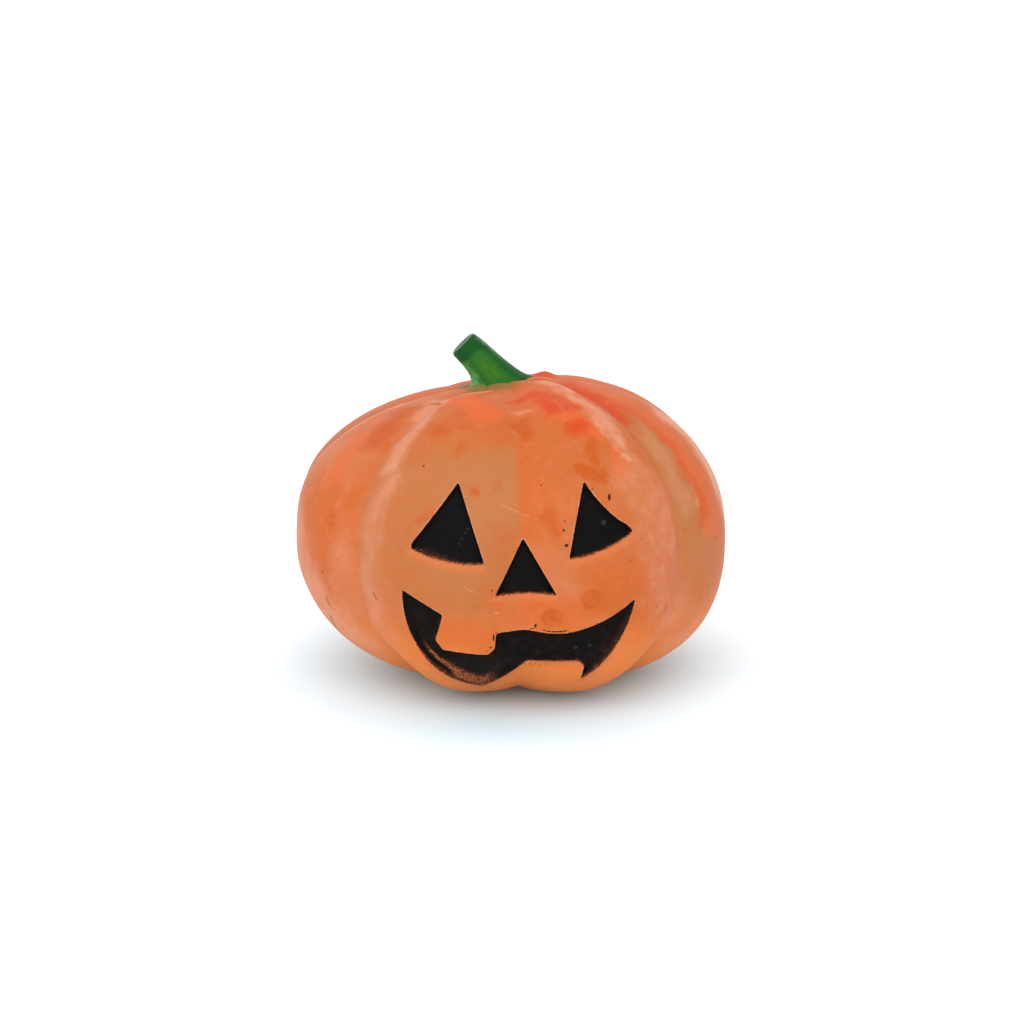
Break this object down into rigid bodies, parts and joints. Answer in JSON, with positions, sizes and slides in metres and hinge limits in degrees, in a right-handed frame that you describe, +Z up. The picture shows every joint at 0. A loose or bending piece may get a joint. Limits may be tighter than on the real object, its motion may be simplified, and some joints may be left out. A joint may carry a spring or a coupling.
{
  "type": "ceramic pumpkin figure",
  "caption": "Hollow moulded pumpkin figure with a recessed grinning face in black enamel and a bent green stem, standing on a flat foot ring.",
  "frame": {"origin": "bottom centre of the bounding box, on the surface the figure stands on", "axes": "+Z up, the face looks along -Y, +X is to the viewer's right when the face is looked at"},
  "size_m": [0.09, 0.0902, 0.0728],
  "materials": {
    "orange_body": "satin sprayed orange over a peach base, mottled red at the crown",
    "green_stem": "satin to gloss brushed green",
    "black_enamel": "satin black, worn and speckled at its edges",
    "raw_clay": "unpainted matt clay"
  },
  "bodies": {
    "root": {"front_shell": "orange_body", "back_shell": "orange_body", "stem": "green_stem", "left_eye_enamel": "black_enamel", "right_eye_enamel": "black_enamel", "nose_enamel": "black_enamel", "mouth_enamel": "black_enamel", "base_disc": "raw_clay"}
  },
  "joints": []
}
